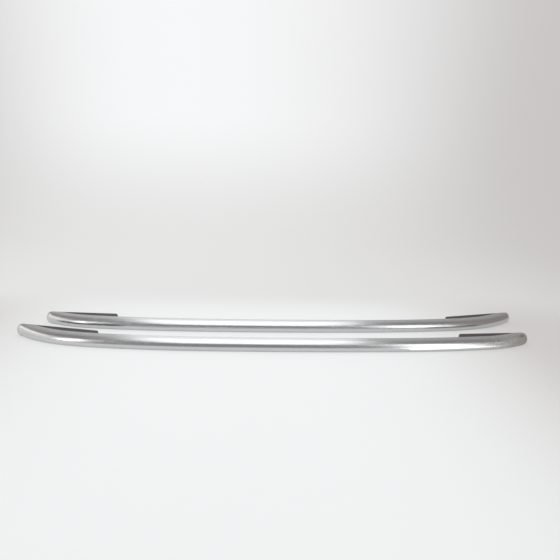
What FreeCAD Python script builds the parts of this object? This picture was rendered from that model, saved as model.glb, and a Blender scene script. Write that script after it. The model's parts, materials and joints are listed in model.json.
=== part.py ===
import FreeCAD, Part
import math
import os

# A pair of lengthwise roof rails lying on their sides, crowns to the viewer and feet turned away.
# X runs along the rails, Y from crown to feet, Z up from the floor. Millimetres.

V = FreeCAD.Vector
UP = V(0, 0, 1)
MIDDLE = V(0, 0, 0)

# Section of the hollow rail: the crown lies nearer to the lower flank, under a wider upper shoulder.
# The centre of each shoulder lies one reach from the crown line, and the shoulder fills the rest of the width.
RAIL_WIDTH = 40.0
RAIL_DEPTH = 40.5
CROWN_HEIGHT = 16.0
UPPER_REACH = 4.0
LOWER_REACH = 0.5
CROWN_OVER_SHOULDER = 6.0
HEEL_RADIUS = 3.0
INNER_HEEL = 1.0
WALL = 2.8

# Crown line from the middle of the rail to its front end: four bends, each tighter than the last
FRONT_MIDDLE_RADIUS = 15120.0
FRONT_MIDDLE_LENGTH = 270.0
FRONT_FALL_RADIUS = 4390.0
FRONT_FALL_LENGTH = 337.0
FRONT_KNEE_RADIUS = 1030.0
FRONT_KNEE_LENGTH = 122.0
FRONT_END_RADIUS = 459.0
FRONT_END_LENGTH = 168.0

# Crown line from the middle to the rear end: three bends
REAR_MIDDLE_RADIUS = 14240.0
REAR_MIDDLE_LENGTH = 412.0
REAR_FALL_RADIUS = 3830.0
REAR_FALL_LENGTH = 322.0
REAR_END_RADIUS = 493.0
REAR_END_LENGTH = 150.0

# Nose that closes each end: inner radius and turn of the last bend
NOSE_INNER_RADIUS = 5.0
NOSE_TURN = 60.0

# Feet: slope of the roof, length along the roof, and how far the heel stays from the nose
FRONT_SLOPE = 10.5
FRONT_FOOT_LENGTH = 229.0
FRONT_HEEL_SETBACK = 33.0
REAR_SLOPE = 3.8
REAR_FOOT_LENGTH = 206.0
REAR_HEEL_SETBACK = 16.0
FOOT_MARGIN = 0.6
FOOT_SLANT = 26.0
FOOT_CORNER = 5.0
FOOT_BASE = 1.6
FOOT_SKIN = 3.0
POCKET_OVERHANG = 12.0
RIB = 2.4
PLUG_HEIGHT = 8.0
PLUG_WALL = 2.5
GASKET = 2.0
GASKET_MARGIN = 1.2

# Fixings: their middle is measured along the foot from its inner end
FIXING_MIDDLE = 100.0
STUD_SPACING = 60.0
THREAD_RADIUS = 4.0
THREAD_LENGTH = 21.0
THREAD_CHAMFER = 1.0
SHANK_RADIUS = 5.0
GRIP = 10.0
SEAL_RADIUS = 8.5
SEAL_PROUD = 0.8
SCREW_SPACING = 120.0
SCREW_RADIUS = 2.5
SCREW_HEAD = 5.0
SOCKET_ACROSS = 3.0
SOCKET_DEPTH = 2.5
ANCHOR_HEIGHT = 12.0
ANCHOR_OVERHANG = 12.0
HOLE_CLEARANCE = 0.5
DRILL_OVERRUN = 1.4

# How the second rail lies behind the first
SECOND_ALONG = 52.3
SECOND_BEHIND = 152.9
SECOND_YAW = 0.69

FRONT_BENDS = (
    (FRONT_MIDDLE_RADIUS, FRONT_MIDDLE_LENGTH),
    (FRONT_FALL_RADIUS, FRONT_FALL_LENGTH),
    (FRONT_KNEE_RADIUS, FRONT_KNEE_LENGTH),
    (FRONT_END_RADIUS, FRONT_END_LENGTH),
)
REAR_BENDS = (
    (REAR_MIDDLE_RADIUS, REAR_MIDDLE_LENGTH),
    (REAR_FALL_RADIUS, REAR_FALL_LENGTH),
    (REAR_END_RADIUS, REAR_END_LENGTH),
)
UPPER_SHOULDER_RADIUS = RAIL_WIDTH - CROWN_HEIGHT - UPPER_REACH
LOWER_SHOULDER_RADIUS = CROWN_HEIGHT - LOWER_REACH
CROWN_RADIUS = UPPER_SHOULDER_RADIUS + CROWN_OVER_SHOULDER
NOSE_RADIUS = RAIL_DEPTH + NOSE_INNER_RADIUS
MITRE = GASKET + FOOT_BASE
CENTRE = RAIL_WIDTH / 2
SLANT = math.tan(math.radians(FOOT_SLANT))
STUD_PLACES = (FIXING_MIDDLE - STUD_SPACING / 2, FIXING_MIDDLE + STUD_SPACING / 2)
SCREW_PLACES = (FIXING_MIDDLE - SCREW_SPACING / 2, FIXING_MIDDLE + SCREW_SPACING / 2)
POCKET_LENGTH = SCREW_PLACES[-1] + POCKET_OVERHANG
HEAD_HEIGHT = SCREW_HEAD - SCREW_RADIUS
JOIN_LAP = FOOT_MARGIN
FAR = 20 * RAIL_WIDTH
SEARCH_STEPS = 50


def inward(turn):
    return V(-math.sin(turn), math.cos(turn), 0)


def station(bends, distance):
    point = MIDDLE
    turn = 0.0
    for radius, length in bends:
        run = min(length, distance)
        centre = point + inward(turn) * radius
        turn += run / radius
        point = centre - inward(turn) * radius
        distance -= run
    return point, turn


def sweep(face, bends):
    pieces = []
    point = MIDDLE
    turn = 0.0
    nose = (NOSE_RADIUS, NOSE_RADIUS * math.radians(NOSE_TURN))
    for radius, length in bends + (nose,):
        centre = point + inward(turn) * radius
        angle = math.degrees(length / radius)
        pieces.append(face.revolve(centre, UP, angle))
        face = face.copy()
        face.rotate(centre, UP, angle)
        turn += length / radius
        point = centre - inward(turn) * radius
    drop = V(math.cos(turn), math.sin(turn), 0) * RAIL_DEPTH
    pieces.append(face.extrude(drop))
    return pieces[0].multiFuse(pieces[1:]).removeSplitter()


def arc(start, middle, end):
    return Part.Arc(start, middle, end).toShape()


def line(start, end):
    return Part.makeLine(start, end)


def section(side, crown, under):
    half = CENTRE - side
    top = RAIL_DEPTH - under
    crown_radius = CROWN_RADIUS - crown
    heel = max(HEEL_RADIUS - side, INNER_HEEL)
    hub = V(0, crown + crown_radius, CROWN_HEIGHT)
    edges = []
    joints = {}
    for sign, radius in ((1, UPPER_SHOULDER_RADIUS), (-1, LOWER_SHOULDER_RADIUS)):
        shoulder = radius - side
        reach = half - shoulder + sign * (CENTRE - CROWN_HEIGHT)
        seat = hub.y - math.sqrt((crown_radius - shoulder) ** 2 - reach ** 2)
        centre = V(0, seat, CROWN_HEIGHT + sign * reach)
        spoke = (centre - hub).normalize()
        joint = hub + spoke * crown_radius
        joints[sign] = joint
        flank = centre + V(0, 0, sign * shoulder)
        bisector = (spoke + V(0, 0, sign)).normalize()
        edges.append(arc(joint, centre + bisector * shoulder, flank))
        low = V(0, top - heel, CENTRE + sign * half)
        edges.append(line(flank, low))
        turn_centre = V(0, top - heel, CENTRE + sign * (half - heel))
        corner = V(0, 1, sign).normalize()
        toe = V(0, top, CENTRE + sign * (half - heel))
        edges.append(arc(low, turn_centre + corner * heel, toe))
        joints[2 * sign] = toe
    edges.append(arc(joints[1], V(0, crown, CROWN_HEIGHT), joints[-1]))
    edges.append(line(joints[2], joints[-2]))
    return Part.Wire(Part.__sortEdges__(edges))


def ring(outer, inner):
    return Part.Face(outer).cut(Part.Face(inner)).Faces[0]


def rectangle(front, back, low, high):
    corners = [V(0, front, low), V(0, back, low), V(0, back, high), V(0, front, high)]
    return Part.Face(Part.makePolygon(corners + corners[:1]))


def above_underside(bends, extra):
    return sweep(rectangle(-2 * RAIL_DEPTH, RAIL_DEPTH + extra, -RAIL_WIDTH, 2 * RAIL_WIDTH), bends)


class Foot:
    def __init__(self, bends, slope, length, setback):
        self.bends = bends
        self.slope = slope
        self.length = length
        self.end = sum(run for radius, run in bends) - setback
        self.across = inward(math.radians(slope))
        self.along = V(self.across.y, -self.across.x, 0)
        point, turn = station(bends, self.end)
        self.origin = point + inward(turn) * RAIL_DEPTH - self.along * length

    def put(self, shape):
        shape.rotate(MIDDLE, UP, self.slope)
        shape.translate(self.origin)
        return shape

    def slab(self, low, high, first, last):
        box = Part.makeBox(last - first, high - low, 3 * RAIL_WIDTH, V(first, low, -RAIL_WIDTH))
        return self.put(box)

    def pin(self, place, low, high, radius):
        return self.put(Part.makeCylinder(radius, high - low, V(place, low, CENTRE), V(0, 1, 0)))

    def cone(self, place, low, high, low_radius, high_radius):
        base = V(place, low, CENTRE)
        return self.put(Part.makeCone(low_radius, high_radius, high - low, base, V(0, 1, 0)))

    def underside(self, place):
        near = 0.0
        far = self.end
        for step in range(SEARCH_STEPS):
            distance = (near + far) / 2
            point, turn = station(self.bends, distance)
            spot = point + inward(turn) * RAIL_DEPTH - self.origin
            if spot.dot(self.along) > place:
                far = distance
            else:
                near = distance
        return spot.dot(self.across)

    def prism(self, low, high, margin, setback, last):
        first = high * SLANT + setback
        small = margin
        large = RAIL_WIDTH - margin
        r = FOOT_CORNER
        nick = r * (1 - math.sqrt(0.5))
        p = [V(last, high, small), V(first + r, high, small), V(first, high, small + r)]
        q = [V(first, high, large - r), V(first + r, high, large), V(last, high, large)]
        edges = [line(p[0], p[1])]
        edges.append(arc(p[1], V(first + nick, high, small + nick), p[2]))
        edges.append(line(p[2], q[0]))
        edges.append(arc(q[0], V(first + nick, high, large - nick), q[1]))
        edges.append(line(q[1], q[2]))
        edges.append(line(q[2], p[0]))
        depth = high - low
        return self.put(Part.Face(Part.Wire(edges)).extrude(V(-depth * SLANT, -depth, 0)))


def make_rail(foot):
    shell = ring(section(0, 0, 0), section(WALL, WALL, WALL))
    rail = sweep(shell, foot.bends).cut(foot.slab(-MITRE, FAR, 0, FAR))
    depth = WALL + DRILL_OVERRUN
    for place in STUD_PLACES:
        rail = rail.cut(foot.pin(place, foot.underside(place) - depth, 0, SHANK_RADIUS + HOLE_CLEARANCE))
    for place in SCREW_PLACES:
        rail = rail.cut(foot.pin(place, foot.underside(place) - depth, 0, SCREW_RADIUS + HOLE_CLEARANCE))
    return rail


def make_anchor(foot):
    side = WALL + INNER_HEEL
    bar = rectangle(RAIL_DEPTH - WALL - ANCHOR_HEIGHT, RAIL_DEPTH - WALL, side, RAIL_WIDTH - side)
    first = SCREW_PLACES[0] - ANCHOR_OVERHANG
    last = SCREW_PLACES[-1] + ANCHOR_OVERHANG
    anchor = sweep(bar, foot.bends).common(foot.slab(-FAR, 0, first, last))
    for place in STUD_PLACES:
        anchor = anchor.cut(foot.pin(place, foot.underside(place) - WALL - GRIP, 0, SHANK_RADIUS))
    for place in SCREW_PLACES:
        anchor = anchor.cut(foot.pin(place, foot.underside(place) - WALL - GRIP, 0, SCREW_RADIUS))
    return anchor


def make_studs(foot):
    studs = []
    for place in STUD_PLACES:
        shank = foot.pin(place, foot.underside(place) - WALL - GRIP, SEAL_PROUD, SHANK_RADIUS)
        end = SEAL_PROUD + THREAD_LENGTH
        thread = foot.pin(place, SEAL_PROUD, end, THREAD_RADIUS)
        tip = foot.cone(place, end, end + THREAD_CHAMFER, THREAD_RADIUS, THREAD_RADIUS - THREAD_CHAMFER)
        studs.append(shank.fuse([thread, tip]).removeSplitter())
    return Part.makeCompound(studs)


def make_screws(foot):
    screws = []
    neck = -GASKET - HEAD_HEIGHT
    for place in SCREW_PLACES:
        shank = foot.pin(place, foot.underside(place) - WALL - GRIP, neck, SCREW_RADIUS)
        top = foot.cone(place, neck, -GASKET, SCREW_RADIUS, SCREW_HEAD)
        hexagon = []
        for corner in range(7):
            turn = math.radians(60 * corner)
            reach = SOCKET_ACROSS / math.sqrt(3)
            hexagon.append(V(place + reach * math.cos(turn), -GASKET, CENTRE + reach * math.sin(turn)))
        socket = foot.put(Part.Face(Part.makePolygon(hexagon)).extrude(V(0, -SOCKET_DEPTH, 0)))
        screws.append(shank.fuse(top).cut(socket))
    return Part.makeCompound(screws)


def make_foot(foot):
    tall = RAIL_DEPTH
    wedge = foot.prism(-tall, -GASKET, FOOT_MARGIN, 0, foot.length + RAIL_DEPTH)
    wedge = wedge.cut(above_underside(foot.bends, 0))
    outline = Part.Face(section(FOOT_MARGIN, FOOT_MARGIN, -JOIN_LAP))
    base = sweep(outline, foot.bends).common(foot.slab(-MITRE, -GASKET, 0, FAR))
    inner = WALL + HOLE_CLEARANCE
    rim = ring(section(inner, inner, inner), section(*[inner + PLUG_WALL] * 3))
    plug = sweep(rim, foot.bends).common(foot.slab(-MITRE - PLUG_HEIGHT, -MITRE, foot.length, FAR))
    body = wedge.fuse([base, plug]).removeSplitter()
    pocket = foot.prism(-tall, -GASKET, FOOT_MARGIN + FOOT_SKIN, FOOT_SKIN, POCKET_LENGTH)
    pocket = pocket.cut(above_underside(foot.bends, FOOT_SKIN))
    rib_places = [(STUD_PLACES[0] + SCREW_PLACES[0]) / 2, sum(STUD_PLACES) / 2]
    rib_places.append((STUD_PLACES[-1] + SCREW_PLACES[-1]) / 2)
    keep = [foot.slab(-FAR, 0, place - RIB / 2, place + RIB / 2) for place in rib_places]
    keep += [foot.pin(place, -tall, 0, SHANK_RADIUS + FOOT_SKIN) for place in STUD_PLACES]
    keep += [foot.pin(place, -tall, 0, SCREW_HEAD + RIB) for place in SCREW_PLACES]
    body = body.cut(pocket.cut(keep))
    for place in STUD_PLACES:
        body = body.cut(foot.pin(place, -tall, 0, SHANK_RADIUS + HOLE_CLEARANCE))
    for place in SCREW_PLACES:
        body = body.cut(foot.pin(place, -tall, 0, SCREW_RADIUS + HOLE_CLEARANCE))
        body = body.cut(foot.cone(place, -GASKET - HEAD_HEIGHT, -GASKET, SCREW_RADIUS, SCREW_HEAD))
    return body


def make_gasket(foot):
    pad = foot.prism(-GASKET, 0, GASKET_MARGIN, GASKET_MARGIN, foot.length)
    pad = pad.cut(above_underside(foot.bends, 0))
    outline = Part.Face(section(GASKET_MARGIN, GASKET_MARGIN, -JOIN_LAP))
    nose = sweep(outline, foot.bends).common(foot.slab(-GASKET, 0, 0, FAR))
    pad = pad.fuse(nose).removeSplitter()
    for place in STUD_PLACES:
        pad = pad.cut(foot.pin(place, -GASKET, 0, SEAL_RADIUS))
    return pad


def make_seals(foot):
    rings = []
    for place in STUD_PLACES:
        washer = foot.pin(place, -GASKET, SEAL_PROUD, SEAL_RADIUS)
        rings.append(washer.cut(foot.pin(place, -GASKET, SEAL_PROUD, SHANK_RADIUS)))
    return Part.makeCompound(rings)


def make_first_rail():
    front = Foot(FRONT_BENDS, FRONT_SLOPE, FRONT_FOOT_LENGTH, FRONT_HEEL_SETBACK)
    rear = Foot(REAR_BENDS, REAR_SLOPE, REAR_FOOT_LENGTH, REAR_HEEL_SETBACK)
    makers = {"foot": make_foot, "gasket": make_gasket, "anchor": make_anchor}
    makers.update({"studs": make_studs, "screws": make_screws, "stud_seals": make_seals})
    shapes = {}
    for name, make in makers.items():
        shapes["front_" + name] = make(front).mirror(MIDDLE, V(1, 0, 0))
        shapes["rear_" + name] = make(rear)
    halves = make_rail(front).mirror(MIDDLE, V(1, 0, 0)).fuse(make_rail(rear))
    shapes["rail"] = halves.removeSplitter()
    return shapes


def make_pair():
    shapes = {}
    for name, shape in make_first_rail().items():
        shapes["left_" + name] = shape
        other = shape.mirror(MIDDLE, V(1, 0, 0))
        other.rotate(MIDDLE, UP, SECOND_YAW)
        other.translate(V(SECOND_ALONG, SECOND_BEHIND, 0))
        shapes["right_" + name] = other
    box = Part.makeCompound(list(shapes.values())).optimalBoundingBox(False)
    shift = V(-(box.XMin + box.XMax) / 2, -(box.YMin + box.YMax) / 2, -box.ZMin)
    for shape in shapes.values():
        shape.translate(shift)
    return shapes


os.makedirs("parts", exist_ok=True)
for name, shape in make_pair().items():
    shape.exportStep("parts/" + name + ".step")
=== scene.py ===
import bmesh
import bpy
import json
import math
from mathutils import Matrix, Vector


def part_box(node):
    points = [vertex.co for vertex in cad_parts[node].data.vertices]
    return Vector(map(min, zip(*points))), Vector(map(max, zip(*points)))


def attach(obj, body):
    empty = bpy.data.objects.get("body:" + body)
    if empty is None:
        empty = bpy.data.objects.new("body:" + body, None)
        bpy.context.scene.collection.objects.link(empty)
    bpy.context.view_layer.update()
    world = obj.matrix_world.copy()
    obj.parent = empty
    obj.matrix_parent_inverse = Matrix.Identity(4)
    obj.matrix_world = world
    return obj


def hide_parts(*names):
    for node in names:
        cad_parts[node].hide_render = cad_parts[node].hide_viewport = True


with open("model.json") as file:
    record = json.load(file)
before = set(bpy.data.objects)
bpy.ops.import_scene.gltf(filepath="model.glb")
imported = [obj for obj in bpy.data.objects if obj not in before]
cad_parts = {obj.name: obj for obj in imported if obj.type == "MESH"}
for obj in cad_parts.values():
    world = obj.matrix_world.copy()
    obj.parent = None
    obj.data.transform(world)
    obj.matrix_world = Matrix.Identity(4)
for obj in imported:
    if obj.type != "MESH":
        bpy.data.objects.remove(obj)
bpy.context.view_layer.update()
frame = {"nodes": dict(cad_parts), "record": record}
nodes = frame["nodes"]
bpy.ops.object.select_all(action="DESELECT")

# Rails: two bent lengths of hollow aluminium section, brushed lengthwise and satin anodised.
# Each runs round a row of bends that tighten towards both ends, turns down in a round nose
# and is cut off on the slope of the roof. The right rail is the left one mirrored.
touch = 1e-6
crease = math.radians(35)
rail_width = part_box("left_rail")[1].z
rail_depth = 0.0405
crown_height = 0.016
crown_radius = 0.026
upper_shoulder_radius = 0.020
lower_shoulder_radius = 0.0155
heel_radius = 0.003
upper_crown_facets = 12
upper_shoulder_facets = 14
heel_facets = 5
lower_shoulder_facets = 20
lower_crown_facets = 2

# Radius and length of each bend along the crown, in order from the middle of the rail to one end.
front_bends = [(15.120, 0.270), (4.390, 0.337), (1.030, 0.122), (0.459, 0.168)]
rear_bends = [(14.240, 0.412), (3.830, 0.322), (0.493, 0.150)]
nose_inner_radius = 0.005
nose_radius = rail_depth + nose_inner_radius
nose_turn = math.radians(60)
bend_least_facets = 4
bend_facet_degrees = 1.5

# Slope of each cut, and how far before the nose it meets the underside of the rail.
front_cut = (math.radians(10.5), 0.033)
rear_cut = (math.radians(3.8), 0.016)
cut_gap = 0.0036
cut_reach = 0.24
right_rail_yaw = math.radians(0.69)


def edit(piece):
    """Opens a piece for shaping, with nothing selected."""
    bpy.context.view_layer.objects.active = piece
    bpy.ops.object.mode_set(mode="EDIT")
    bpy.ops.mesh.select_mode(type="VERT")
    bpy.ops.mesh.select_all(action="DESELECT")


def close(piece):
    """Merges double points, turns the faces outward and leaves the shaping."""
    bpy.ops.mesh.select_all(action="SELECT")
    bpy.ops.mesh.remove_doubles(threshold=touch)
    bpy.ops.mesh.normals_make_consistent(inside=False)
    bpy.ops.object.mode_set(mode="OBJECT")
    piece.select_set(False)


def pick(piece, test):
    """Selects the points of a piece that pass a test of their place, with what lies between them."""
    mesh = bmesh.from_edit_mesh(piece.data)
    for point in mesh.verts:
        point.select = test(point.co)
    mesh.select_flush(True)
    mesh.select_flush(False)
    bmesh.update_edit_mesh(piece.data)


def spin(centre, axis, angle, facets):
    """Spins what is selected, right-handed about the axis."""
    bpy.ops.mesh.spin(steps=facets, angle=-angle, center=centre, axis=axis)


def extrude(way):
    """Extrudes what is selected."""
    bpy.ops.mesh.extrude_region_move(TRANSFORM_OT_translate={"value": way})


def copy_of(piece):
    """A copy of a piece, with a mesh of its own."""
    twin = piece.copy()
    twin.data = piece.data.copy()
    bpy.context.collection.objects.link(twin)
    return twin


def low_corner(piece):
    """The lowest corner of the box round a piece."""
    places = [point.co for point in piece.data.vertices]
    return Vector(min(place[axis] for place in places) for axis in range(3))


def smooth(piece):
    """Shades a piece smoothly between its sharp edges."""
    bpy.context.view_layer.objects.active = piece
    piece.select_set(True)
    bpy.ops.object.shade_smooth_by_angle(angle=crease)
    piece.select_set(False)


def draw_section():
    """Draws the outline of the section from one point at the crown, round to that point again."""

    def arc(depth, height, angle, facets):
        spin((0, depth, height), (1, 0, 0), -angle, facets)

    def line(depth, height):
        bpy.ops.mesh.extrude_vertices_move(TRANSFORM_OT_translate={"value": (0, depth, height)})

    def shoulder(span, radius):
        """Turn of the crown up to a shoulder, and the depth and height of the centre of the shoulder."""
        reach = span - radius
        turn = math.asin(reach / (crown_radius - radius))
        return turn, crown_radius - (crown_radius - radius) * math.cos(turn), reach

    square = math.pi / 2
    upper_turn, upper_seat, upper_reach = shoulder(rail_width - crown_height, upper_shoulder_radius)
    lower_turn, lower_seat, lower_reach = shoulder(crown_height, lower_shoulder_radius)
    heel_seat = rail_depth - heel_radius
    arc(crown_radius, crown_height, upper_turn, upper_crown_facets)
    arc(upper_seat, crown_height + upper_reach, square - upper_turn, upper_shoulder_facets)
    line(heel_seat - upper_seat, 0)
    arc(heel_seat, rail_width - heel_radius, square, heel_facets)
    line(0, 2 * heel_radius - rail_width)
    arc(heel_seat, heel_radius, square, heel_facets)
    line(lower_seat - heel_seat, 0)
    arc(lower_seat, crown_height - lower_reach, square - lower_turn, lower_shoulder_facets)
    arc(crown_radius, crown_height, lower_turn, lower_crown_facets)
    bpy.ops.mesh.select_all(action="SELECT")
    bpy.ops.mesh.remove_doubles(threshold=touch)


def course(bends, way):
    """The bends in order to one end: centre, radius, first turn, last turn and length so far."""
    point, turn, run = Vector((0, 0, 0)), 0.0, 0.0
    for radius, length in bends + [(nose_radius, nose_radius * nose_turn)]:
        centre = point + Vector((-way * math.sin(turn), math.cos(turn), 0)) * radius
        last = turn + length / radius
        yield centre, radius, turn, last, run
        point = centre + Vector((way * math.sin(last), -math.cos(last), 0)) * radius
        turn, run = last, run + length


def sweep(bends, way):
    """Sweeps the selected section round the bends to one end, and straight on past the cut."""
    for centre, radius, turn, last, run in course(bends, way):
        facets = bend_least_facets + math.ceil(math.degrees(last - turn) / bend_facet_degrees)
        spin(centre, (0, 0, 1), way * (last - turn), facets)
    extrude(Vector((way * math.cos(last), math.sin(last), 0)) * rail_depth)


def cut_on_roof(piece, bends, way, slope, setback):
    """Cuts one end off on the slope of the roof and closes it."""
    total = sum(length for radius, length in bends)
    centre, radius, turn, last, run = [bend for bend in course(bends, way) if bend[4] < total][-1]
    angle = turn + (total - setback - run) / radius
    heel = centre + Vector((way * math.sin(angle), -math.cos(angle), 0)) * (radius - rail_depth)
    normal = Vector((-way * math.sin(slope), math.cos(slope), 0))
    pick(piece, lambda place: way * (place.x - heel.x) > -cut_reach)
    bpy.ops.mesh.bisect(plane_co=heel - normal * cut_gap, plane_no=normal, use_fill=True, clear_outer=True)


def lay(place):
    """Where a point of the rail lies: along the crown from its middle, in depth and in height."""
    way = 1 if place.x > 0 else -1
    for centre, radius, turn, last, run in course(rear_bends if way > 0 else front_bends, way):
        arm = place - centre
        angle = math.atan2(way * arm.x, -arm.y)
        if angle <= last:
            break
    return Vector((way * (run + (angle - turn) * radius), radius - math.hypot(arm.x, arm.y), place.z))


bpy.ops.mesh.primitive_plane_add(size=rail_width)
left_rail = bpy.context.object
left_rail.name = "left_rail_skin"
edit(left_rail)
bpy.ops.mesh.select_all(action="SELECT")
bpy.ops.mesh.merge(type="CENTER")
bpy.ops.transform.translate(value=(0, 0, crown_height))
draw_section()
sweep(rear_bends, 1)
pick(left_rail, lambda place: abs(place.x) < touch)
sweep(front_bends, -1)
cut_on_roof(left_rail, front_bends, -1, *front_cut)
cut_on_roof(left_rail, rear_bends, 1, *rear_cut)
close(left_rail)
places = left_rail.data.attributes.new("rail_lay", "FLOAT_VECTOR", "POINT")
for point, place in zip(left_rail.data.vertices, places.data):
    place.vector = lay(point.co)

right_rail = copy_of(left_rail)
right_rail.name = "right_rail_skin"
right_rail.data.transform(Matrix.Rotation(right_rail_yaw, 4, "Z") @ Matrix.Diagonal((-1, 1, 1, 1)))
edit(right_rail)
close(right_rail)
for rail, side in ((left_rail, "left_rail"), (right_rail, "right_rail")):
    rail.data.transform(Matrix.Translation(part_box(side)[0] - low_corner(rail)))
    smooth(rail)
    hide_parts(side)
    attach(rail, "root")


class Signal:
    """One socket of a finish. Arithmetic on it adds Math nodes, and node adds any other node."""

    def __init__(self, tree, socket=None):
        self.tree = tree
        self.socket = socket

    def node(self, kind, settings, sockets, output=0):
        """Adds a node, makes its settings, fills its sockets and gives one of its outputs."""
        made = self.tree.nodes.new("ShaderNode" + kind)
        for name, value in settings.items():
            setattr(made, name, value)
        for name, value in sockets.items():
            if isinstance(value, Signal):
                self.tree.links.new(value.socket, made.inputs[name])
            else:
                made.inputs[name].default_value = value
        return Signal(self.tree, made.outputs[output])

    def math(self, operation, first, second):
        return self.node("Math", {"operation": operation}, {0: first, 1: second})

    def __add__(self, other):
        return self.math("ADD", self, other)

    __radd__ = __add__

    def __sub__(self, other):
        return self.math("SUBTRACT", self, other)

    def __rsub__(self, other):
        return self.math("SUBTRACT", other, self)

    def __mul__(self, other):
        return self.math("MULTIPLY", self, other)

    __rmul__ = __mul__


def start_finish(name, constants):
    """A new material with one Principled shader, and the signal of its object coordinates."""
    material = bpy.data.materials.new(name)
    material.use_nodes = True
    shader = material.node_tree.nodes["Principled BSDF"]
    for socket, value in constants.items():
        shader.inputs[socket].default_value = value
    place = Signal(material.node_tree).node("TexCoord", {}, {}, "Object")
    return material, shader, place


def feed(shader, signals):
    """Links each signal to the shader socket of that name."""
    for socket, signal in signals.items():
        signal.tree.links.new(signal.socket, shader.inputs[socket])


def noise(place, repeats, detail=2.0):
    """Noise that repeats about so many times in a metre, along each axis."""
    scaled = place.node("VectorMath", {"operation": "MULTIPLY"}, {0: place, 1: repeats})
    return place.node("TexNoise", {}, {"Vector": scaled, "Scale": 1.0, "Detail": detail})


def ramp(signal, low, high):
    """A smooth rise from 0, where the signal is low, to 1, where it is high."""
    return signal.node("MapRange", {"interpolation_type": "SMOOTHSTEP"}, {0: signal, 1: low, 2: high})


def blend(first, second, amount):
    """A colour between two colours, by the signal amount."""
    return amount.node("Mix", {"data_type": "RGBA"}, {0: amount, 6: first, 7: second}, 2)


def dress(piece, finish):
    """Puts one finish on a piece."""
    piece.data.materials.clear()
    piece.data.materials.append(finish)


dull_aluminium = (0.70, 0.71, 0.715, 1)
bright_aluminium = (0.80, 0.805, 0.81, 1)
satin_roughness = 0.18
fine_brushing = (4.0, 1400.0, 1400.0)
broad_brushing = (1.5, 260.0, 260.0)
clouding = (9.0, 9.0, 9.0)
scuff_grain = (70.0, 110.0, 110.0)
scuff_raggedness = 1.1
scuff_core = 0.2
scuff_edge = 1.15


def scuff(at, spot, size):
    """The mask of one worn place with a ragged edge, by where the surface lies on the rail."""
    away = at.node("VectorMath", {"operation": "SUBTRACT"}, {0: at, 1: spot})
    away = at.node("VectorMath", {"operation": "DIVIDE"}, {0: away, 1: size})
    away = at.node("VectorMath", {"operation": "LENGTH"}, {0: away}, "Value")
    ragged = (noise(at, scuff_grain, 4.0) - 0.5) * scuff_raggedness
    return 1.0 - ramp(away + ragged, scuff_core, scuff_edge)


def anodised(name, scuffs):
    """Brushed and anodised aluminium, with the worn places of one rail."""
    finish, shader, place = start_finish(name, {"Metallic": 1.0})
    at = place.node("Attribute", {"attribute_name": "rail_lay"}, {}, "Vector")
    fine = noise(at, fine_brushing)
    broad = noise(at, broad_brushing)
    cloud = noise(place, clouding, 4.0)
    brushing = fine * 0.35 + broad * 0.35 + cloud * 0.3
    colour = blend(dull_aluminium, bright_aluminium, brushing)
    rough = satin_roughness + fine * 0.06 + broad * 0.04 + cloud * 0.06
    wear = 0.0
    for tint, dullness, spot, size in scuffs:
        mask = scuff(at, spot, size)
        colour = blend(colour, tint, mask)
        wear = wear + mask * dullness
    feed(shader, {"Base Color": colour, "Roughness": rough + wear})
    if scuffs:
        feed(shader, {"Metallic": 1.0 - wear})
    return finish


# Worn places at the rear end of the left rail: tint, dullness, place along the rail and size.
rear_scuffs = [
    ((0.46, 0.46, 0.42, 1), 0.45, (0.885, 0.012, 0.022), (0.150, 0.040, 0.040)),
    ((0.60, 0.52, 0.50, 1), 0.10, (0.836, 0.005, 0.031), (0.014, 0.008, 0.008)),
    ((0.30, 0.29, 0.27, 1), 0.15, (0.879, 0.012, 0.037), (0.020, 0.010, 0.005)),
    ((0.80, 0.80, 0.77, 1), 0.08, (0.765, 0.003, 0.029), (0.009, 0.005, 0.004)),
    ((0.34, 0.33, 0.31, 1), 0.20, (0.767, 0.007, 0.034), (0.010, 0.005, 0.004)),
]
left_finish = anodised("left_rail_anodised", rear_scuffs)
right_finish = anodised("right_rail_anodised", [])
for piece in (left_rail, nodes["left_rail"], nodes["right_rail"]):
    dress(piece, left_finish)
dress(right_rail, right_finish)


# Anchors: cast aluminium bars that lie inside the rails above the feet, tapped for studs and screws.
# The skin of the casting is dull and slightly pitted.
def dress_all(ending, finish):
    """Puts one finish on every node whose name has this ending."""
    for name, piece in nodes.items():
        if name.endswith(ending):
            dress(piece, finish)


def bump(height, strength, distance):
    """A bumpy normal, from a signal of the height."""
    return height.node("Bump", {}, {"Strength": strength, "Distance": distance, "Height": height})


dull_casting = (0.44, 0.44, 0.45, 1)
bright_casting = (0.60, 0.60, 0.61, 1)
as_cast, shader, place = start_finish("as_cast", {"Metallic": 1.0})
pits = noise(place, (600.0, 600.0, 600.0), 4.0)
feed(shader, {"Base Color": blend(dull_casting, bright_casting, pits), "Roughness": 0.45 + pits * 0.25})
feed(shader, {"Normal": bump(pits, strength=0.3, distance=0.0003)})
dress_all("_anchor", as_cast)

# Studs: turned from steel bar and zinc plated, each made to its own length. The shank seats
# in the anchor, and the rolled thread goes through the roof and takes a nut from inside the car.
mounts = frame["record"]["mounts"]
thread_radius = mounts[0]["dims"]["r_mm"] / 1000
thread_half = mounts[0]["dims"]["length_mm"] / 2000
thread_pitch = 0.00125
thread_depth = 0.0006
core_radius = thread_radius - thread_depth
ridge_height = 0.9 * thread_pitch
shank_radius = 0.005
stud_facets = 40
thread_facets = 24


def join(pieces):
    """Joins pieces to the first of them."""
    for piece in pieces:
        piece.select_set(True)
    bpy.context.view_layer.objects.active = pieces[0]
    bpy.ops.object.join()
    pieces[0].select_set(False)


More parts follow.
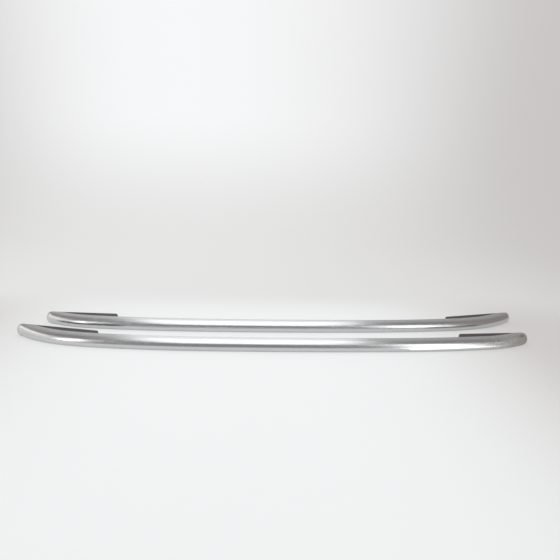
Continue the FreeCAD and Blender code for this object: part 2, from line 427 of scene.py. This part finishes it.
def roll_thread():
    """The ridge of the thread: a triangle wound up round the core, with both ends closed."""
    bpy.ops.mesh.primitive_plane_add(size=1.0)
    ridge = bpy.context.object
    edit(ridge)
    bpy.ops.mesh.select_all(action="SELECT")
    bpy.ops.transform.rotate(value=math.pi / 2, orient_axis="X", center_override=(0, 0, 0))
    bpy.ops.transform.resize(value=(2 * thread_depth, 1, ridge_height))
    bpy.ops.transform.translate(value=(core_radius, 0, thread_pitch - thread_half))
    pick(ridge, lambda place: place.x > core_radius)
    bpy.ops.mesh.merge(type="CENTER")
    bpy.ops.object.mode_set(mode="OBJECT")
    helix = ridge.modifiers.new("helix", "SCREW")
    helix.screw_offset = thread_pitch
    helix.iterations = math.floor(2 * thread_half / thread_pitch) - 1
    helix.steps = helix.render_steps = thread_facets
    helix.use_smooth_shade = False
    bpy.ops.object.modifier_apply(modifier=helix.name)
    edit(ridge)
    bpy.ops.mesh.select_all(action="SELECT")
    bpy.ops.mesh.fill_holes(sides=3)
    close(ridge)
    return ridge


def turn_stud(start, end):
    """A stud along Z with the middle of its thread at 0: shank, shoulder, core and chamfered end."""
    bpy.ops.mesh.primitive_cylinder_add(vertices=stud_facets, radius=shank_radius, depth=-thread_half - start)
    stud = bpy.context.object
    edit(stud)
    bpy.ops.mesh.select_all(action="SELECT")
    bpy.ops.transform.translate(value=(0, 0, (start - thread_half) / 2))
    pick(stud, lambda place: place.z > -thread_half - touch)
    bpy.ops.mesh.extrude_region()
    bpy.ops.transform.resize(value=(core_radius / shank_radius, core_radius / shank_radius, 1))
    extrude((0, 0, 2 * thread_half))
    extrude((0, 0, end - thread_half))
    slim = (thread_radius - end + thread_half) / core_radius
    bpy.ops.transform.resize(value=(slim, slim, 1))
    close(stud)
    return stud


def make_stud(mount, group):
    """One threaded stud on its mount, as long as the solid that it stands for."""
    axis = Vector(mount["axis"])
    middle = Vector(mount["pos_m"])
    arms = [point.co - middle for point in nodes[group].data.vertices]
    along = [arm.dot(axis) for arm in arms if (arm - axis * arm.dot(axis)).length < 2 * shank_radius]
    stud = turn_stud(min(along), max(along))
    join([stud, copy_of(thread)])
    stud.data.transform(Matrix.Translation(middle) @ axis.to_track_quat("Z", "Y").to_matrix().to_4x4())
    return stud


dull_zinc = (0.52, 0.52, 0.50, 1)
bright_zinc = (0.68, 0.68, 0.65, 1)
zinc, shader, place = start_finish("stud_zinc", {"Metallic": 1.0})
bloom = noise(place, (180.0, 180.0, 180.0), 3.0)
feed(shader, {"Base Color": blend(dull_zinc, bright_zinc, bloom), "Roughness": 0.22 + bloom * 0.2})
dress_all("_studs", zinc)
thread = roll_thread()
for group in [name for name in nodes if name.endswith("_studs")]:
    foot = group[:-len("studs")]
    pair = [make_stud(mount, group) for mount in mounts if mount["name"].startswith(foot)]
    join(pair)
    studs = pair[0]
    studs.name = group + "_threaded"
    smooth(studs)
    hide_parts(group)
    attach(studs, "root")
    dress(studs, zinc)
bpy.data.objects.remove(thread)

# Feet: wedges moulded in dark plastic with a fine grain. They fill the space between the underside
# of the rail and the roof, and a collar on each plugs the open end of the rail.
dark_moulding = (0.062, 0.051, 0.052, 1)
pale_moulding = (0.103, 0.087, 0.087, 1)
moulding, shader, place = start_finish("foot_moulding", {"Specular IOR Level": 0.4})
grain = noise(place, (900.0, 900.0, 900.0))
cloud = noise(place, (14.0, 14.0, 14.0), 3.0)
shade = grain * 0.5 + cloud * 0.5
feed(shader, {"Base Color": blend(dark_moulding, pale_moulding, shade), "Roughness": 0.42 + shade * 0.16})
feed(shader, {"Normal": bump(grain, strength=0.25, distance=0.0002)})
dress_all("_foot", moulding)

# Screws: countersunk steel screws, zinc plated and duller than the studs.
# They go up through foot and rail into the anchors and hold the three together.
dull_plating = (0.38, 0.38, 0.39, 1)
bright_plating = (0.52, 0.52, 0.51, 1)
plating, shader, place = start_finish("screw_zinc", {"Metallic": 1.0})
bloom = noise(place, (250.0, 250.0, 250.0), 3.0)
feed(shader, {"Base Color": blend(dull_plating, bright_plating, bloom), "Roughness": 0.30 + bloom * 0.2})
dress_all("_screws", plating)

# Gaskets: pads of soft black rubber, cut to the outline of foot and nose and glued under them.
# They are matt and slightly dusty.
clean_rubber = (0.022, 0.022, 0.022, 1)
dusty_rubber = (0.045, 0.044, 0.042, 1)
rubber, shader, place = start_finish("gasket_rubber", {"Specular IOR Level": 0.3})
dust = noise(place, (120.0, 120.0, 120.0), 4.0)
feed(shader, {"Base Color": blend(clean_rubber, dusty_rubber, dust), "Roughness": 0.70 + dust * 0.2})
dress_all("_gasket", rubber)

# Stud seals: rings of closed-cell foam, pressed over the studs in the holes of the gaskets.
# The cells show as a fine pitting on the cut faces.
dark_foam = (0.035, 0.035, 0.036, 1)
pale_foam = (0.075, 0.075, 0.076, 1)
foam, shader, place = start_finish("seal_foam", {"Specular IOR Level": 0.2})
cells = place.node("TexVoronoi", {}, {"Vector": place, "Scale": 1400.0})
feed(shader, {"Base Color": blend(dark_foam, pale_foam, cells), "Roughness": 0.75 + cells * 0.2})
feed(shader, {"Normal": bump(cells, strength=0.3, distance=0.0002)})
dress_all("_seals", foam)

# Floor and sweep: one pale sheet that rises behind the rails in a wide curve.
# It glows where the camera sees it, with painted shade: paler in the middle than at the sides, and darker
# far back, low on the wall and to the right. It keeps a soft shadow on the ground, is painted dark where
# the rails mirror the floor in front of them, as a painted reflection of a dim room, and is open to view from
# behind.
sheet_width = 14.0
sheet_length = 9.0
sheet_back = 1.2
sweep_radius = 0.9
sweep_facets = 16
wall_height = 4.0
sheet_middle = -0.17
dull_sheet = (0.80, 0.80, 0.805, 1)
bright_sheet = (0.83, 0.83, 0.83, 1)
# Glow colours with painted shade: paler in the middle, darker to the sides, far back, low on the wall and to
# the right.
middle_ground = (0.975, 0.995, 1.0, 1)
shaded_side_ground = (0.655, 0.63, 0.61, 1)
shaded_far_ground = (0.79, 0.79, 0.785, 1)
shaded_low_wall = (0.79, 0.79, 0.785, 1)
high_wall = (0.93, 0.935, 0.945, 1)
shaded_side_wall = (0.645, 0.635, 0.63, 1)
shaded_right_wall = (0.575, 0.555, 0.545, 1)
# Painted reflection: a dark colour for the floor in front of the rails, seen only where the rails mirror it.
painted_dark_reflection = (0.20, 0.20, 0.20, 1)
shadow_share = 0.30
mirrored_share = 0.25
painted_dark_reflection_share = 0.45

sheet, shader, place = start_finish("pale_sheet", {"Roughness": 0.7, "Specular IOR Level": 0.1})
mottle = noise(place, (2.0, 2.0, 2.0))
feed(shader, {"Base Color": blend(dull_sheet, bright_sheet, mottle)})
camera_ray = place.node("LightPath", {}, {}, "Is Camera Ray")
glossy_ray = place.node("LightPath", {}, {}, "Is Glossy Ray")
across, back, up = [place.node("SeparateXYZ", {}, {0: place}, axis) for axis in "XYZ"]
across = across - sheet_middle
aside = across * across
rise = ramp(back, 0.05, 0.45)
away = ramp(aside + back * back, 1.0, 5.0)
# Painted shade in the glow: it darkens to the sides, far back, low on the wall and to the right.
ground = blend(middle_ground, shaded_side_ground, ramp(aside, 0.05, 1.3))
ground = blend(ground, shaded_far_ground, away)
wall = blend(shaded_low_wall, high_wall, ramp(up, 0.0, 0.9))
wall = blend(wall, shaded_side_wall, ramp(aside, 0.2, 5.5))
wall = blend(wall, shaded_right_wall, ramp(across, -0.5, 3.5))
# Painted reflection: the floor in front of the rails is painted dark where the rails mirror it, in place of a
# dim room.
painted_dark_front = glossy_ray * (1.0 - ramp(back, -0.42, -0.17))
pale = blend(blend(ground, wall, rise), painted_dark_reflection, painted_dark_front)
glow = place.node("Emission", {}, {"Color": pale, "Strength": 1.0})
seen = (1.0 - (1.0 - rise) * (1.0 - away) * shadow_share) * camera_ray
share = seen + glossy_ray * mirrored_share + painted_dark_front * painted_dark_reflection_share
tree = sheet.node_tree
front = place.node("MixShader", {}, {0: share, 1: Signal(tree, shader.outputs[0]), 2: glow})
from_behind = place.node("NewGeometry", {}, {}, "Backfacing")
clear = place.node("BsdfTransparent", {}, {})
both = place.node("MixShader", {}, {0: from_behind, 1: front, 2: clear})
tree.links.new(both.socket, tree.nodes["Material Output"].inputs["Surface"])

bpy.ops.mesh.primitive_plane_add(size=1.0)
floor = bpy.context.object
floor.name = "pale_floor"
edit(floor)
bpy.ops.mesh.select_all(action="SELECT")
bpy.ops.transform.resize(value=(sheet_width, sheet_length, 1.0))
bpy.ops.transform.translate(value=(0, sheet_back - sheet_length / 2, 0))
pick(floor, lambda place: place.y > 0)
spin((0, sheet_back, sweep_radius), (1, 0, 0), math.pi / 2, sweep_facets)
extrude((0, 0, wall_height))
bpy.ops.object.mode_set(mode="OBJECT")
bpy.ops.object.shade_smooth()
floor.select_set(False)
dress(floor, sheet)


# Light: a wide softbox overhead, and one behind that the tops of the rails mirror. Two narrow ones
# in front, a low one at the right, and a panel and a strip at the left give the bright streaks.
hair = 0.0001


def softbox(name, place, target, size, radiance):
    """A rectangular lamp of even radiance that faces its target, not seen by the camera.

    The target of one that looks straight up or down is a hair off, which sets how its sides lie.
    """
    lamp = bpy.data.lights.new(name, "AREA")
    lamp.shape = "RECTANGLE"
    lamp.size, lamp.size_y = size
    lamp.energy = radiance * math.pi * size[0] * size[1]
    holder = bpy.data.objects.new(name, lamp)
    bpy.context.scene.collection.objects.link(holder)
    holder.location = place
    holder.visible_camera = False
    aim = Vector(target) - Vector(place)
    holder.rotation_euler = aim.to_track_quat("-Z", "Y").to_euler()


softbox("overhead", (-0.17, -0.15, 1.5), (-0.17, -0.15 + hair, 0.0), size=(1.67, 2.9), radiance=1.25)
softbox("behind", (-0.17, 1.35, 0.95), (-0.17, 0.0, 0.4), size=(1.7, 0.9), radiance=0.55)
softbox("front_left", (-1.932, -1.412, 0.70), (-0.722, -0.022, 0.70), size=(0.336, 1.20), radiance=2.8)
softbox("front_right", (1.482, -1.646, 0.93), (0.462, -0.156, 0.93), size=(0.67, 1.86), radiance=1.9)
softbox("front_low", (0.615, -0.455, 0.003), (0.615, -0.455 - hair, 1.0), size=(0.37, 0.6), radiance=1.3)
softbox("left_panel", (-2.6, -0.15, 0.65), (0.0, -0.15, 0.65), size=(2.7, 1.3), radiance=0.5)
softbox("left_strip", (-2.59, 0.0, 1.1), (0.0, 0.0, 1.1), size=(2.0, 0.55), radiance=0.5)

# Surroundings: a dim room that the rails mirror, cool to the front and the back and warmer
# to both sides. Past the floor the camera sees it as a pale grey.
cool_dim = (0.243, 0.251, 0.256, 1)
warm_dim = (0.285, 0.252, 0.238, 1)
pale_grey = (0.85, 0.85, 0.85, 1)
world = bpy.data.worlds.new("studio")
bpy.context.scene.world = world
world.use_nodes = True
room = world.node_tree.nodes["Background"]
air = Signal(world.node_tree)
camera_ray = air.node("LightPath", {}, {}, "Is Camera Ray")
outward = air.node("TexCoord", {}, {}, "Generated")
sideways = air.node("SeparateXYZ", {}, {0: outward}, "X")
dim = blend(cool_dim, warm_dim, ramp(sideways * sideways, 0.02, 0.5))
feed(room, {"Color": blend(dim, pale_grey, camera_ray)})

# Camera: in front of the rails, a little over half a metre up and looking down on them,
# turned slightly to the right and tilted a little.
eye = Vector((-0.1091, -1.4023, 0.6593))
yaw = math.radians(3.531)
pitch = math.radians(17.838)
roll = math.radians(-2.098)
sensor_width = 36.0
focal_length = 27.242
forward = Vector((math.sin(yaw) * math.cos(pitch), math.cos(yaw) * math.cos(pitch), -math.sin(pitch)))
level = Vector((math.cos(yaw), -math.sin(yaw), 0.0))
down = forward.cross(level)
right = math.cos(roll) * level + math.sin(roll) * down
lower = -math.sin(roll) * level + math.cos(roll) * down
lens = bpy.data.cameras.new("viewer")
lens.sensor_width = sensor_width
lens.lens = focal_length
viewer = bpy.data.objects.new("viewer", lens)
bpy.context.scene.collection.objects.link(viewer)
turn = Matrix((right, -lower, -forward)).transposed().to_4x4()
viewer.matrix_world = Matrix.Translation(eye) @ turn
bpy.context.scene.camera = viewer
bpy.context.scene.view_settings.view_transform = "Standard"
